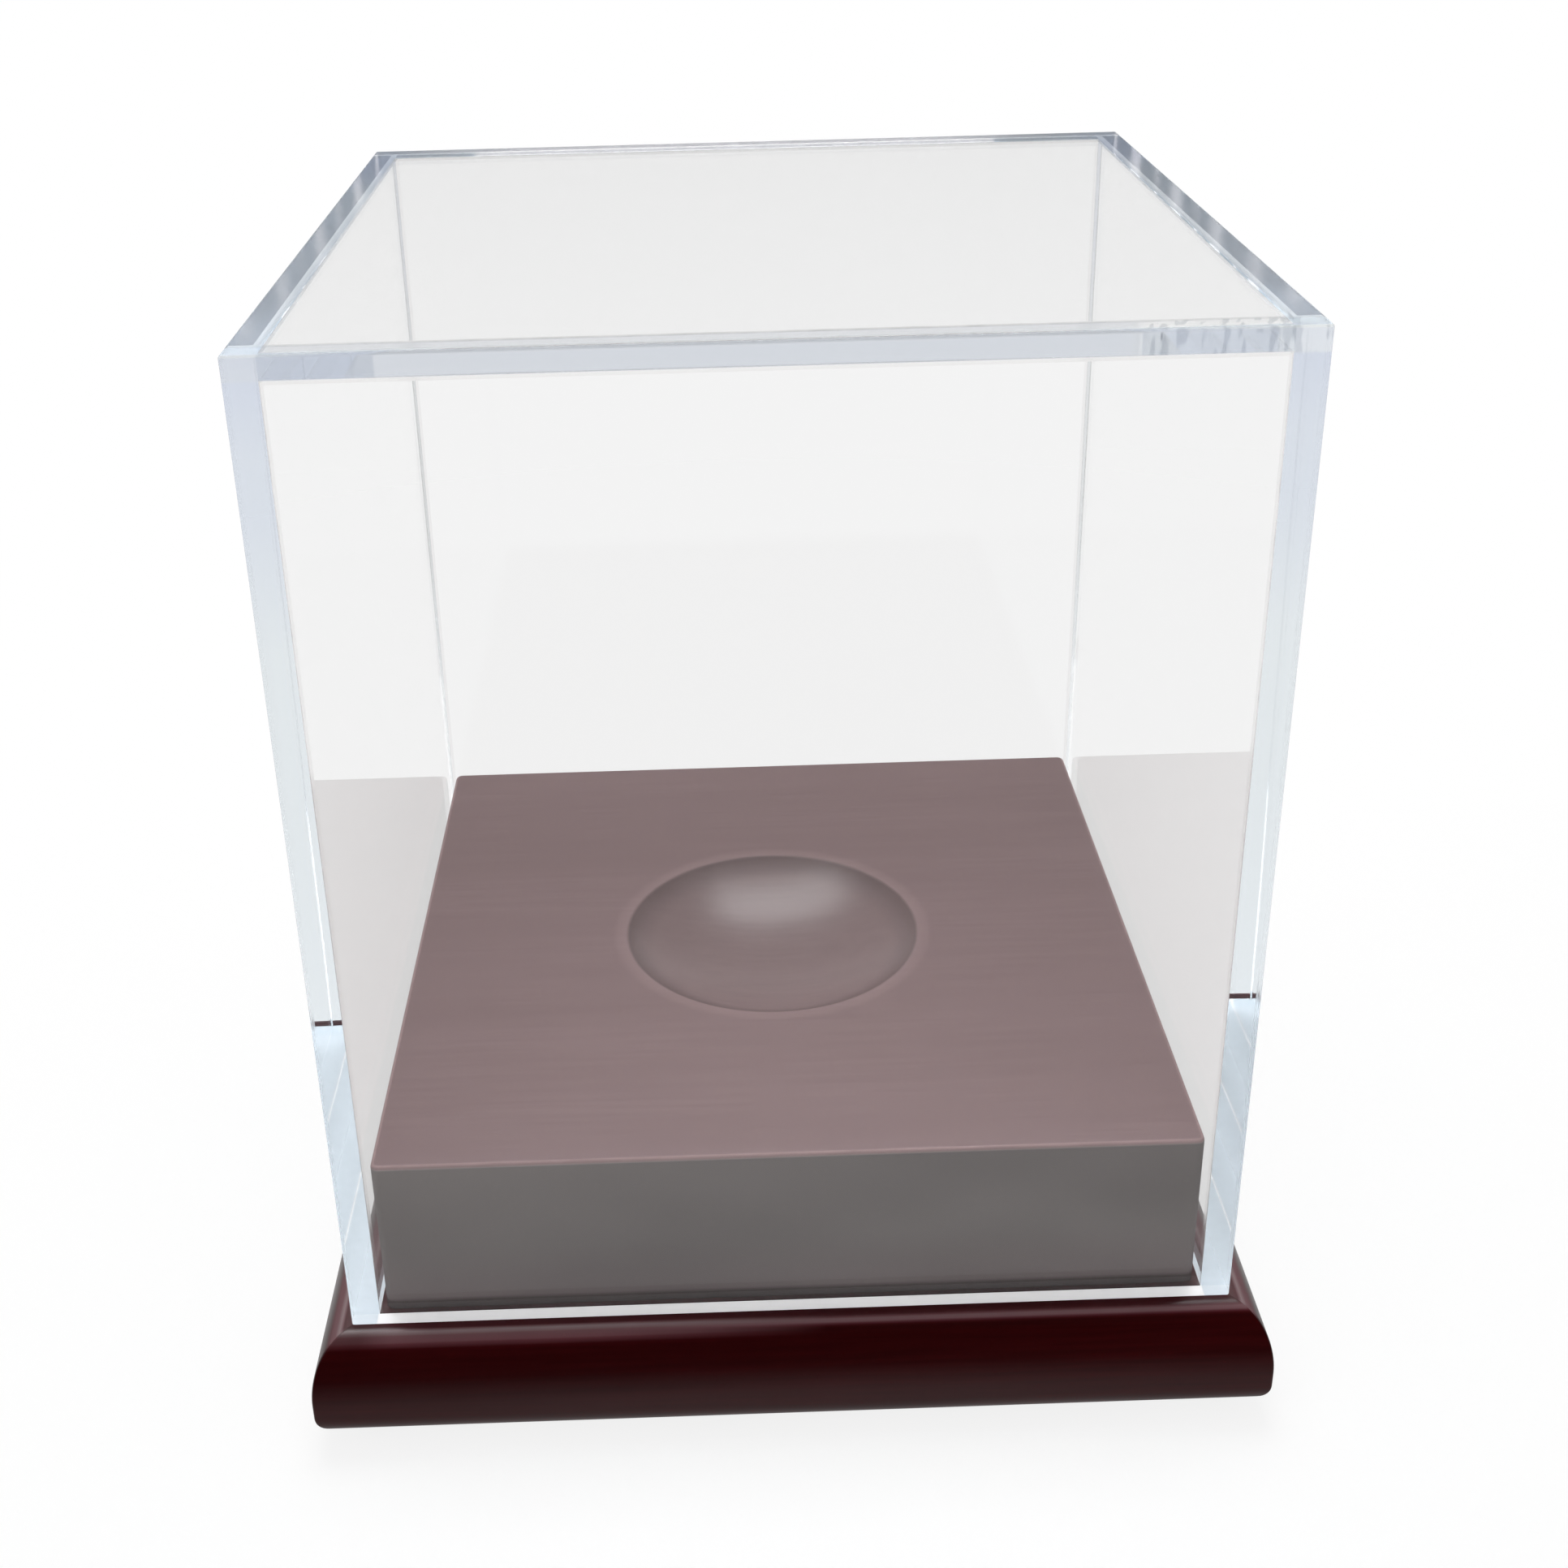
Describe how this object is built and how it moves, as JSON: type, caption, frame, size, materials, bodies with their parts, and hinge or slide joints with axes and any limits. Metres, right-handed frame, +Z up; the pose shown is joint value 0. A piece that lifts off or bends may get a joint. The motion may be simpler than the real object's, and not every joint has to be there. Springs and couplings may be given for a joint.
{
  "type": "baseball display case",
  "caption": "Square display case for a ball: a clear lift-off box cover over a moulded wooden plinth and a riser with a round seat.",
  "frame": {"origin": "middle of the felt's underside, on the case's upright axis", "axes": "+Z up along the case's axis, front to -Y, +X to the right of someone facing the front"},
  "size_m": [0.1116, 0.1116, 0.1292],
  "materials": {
    "lacquered_wood": "high-gloss lacquer over dark cherry stain",
    "riser_wood": "high-gloss lacquer over dark stain",
    "screw_steel": "zinc plated",
    "felt": "pressed wool felt",
    "clear_acrylic": "clear and polished, with sawn lower ends"
  },
  "bodies": {
    "base": {"plinth": "lacquered_wood", "riser_block": "riser_wood", "riser_screws": "screw_steel", "base_felt": "felt"},
    "cover": {"front_panel": "clear_acrylic", "back_panel": "clear_acrylic", "left_panel": "clear_acrylic", "right_panel": "clear_acrylic", "top_panel": "clear_acrylic"}
  },
  "joints": [
    {"name": "cover_lift", "type": "slide", "parent": "base", "child": "cover", "axis": [0, 0, 1], "range_m": [0, 0.115]}
  ]
}
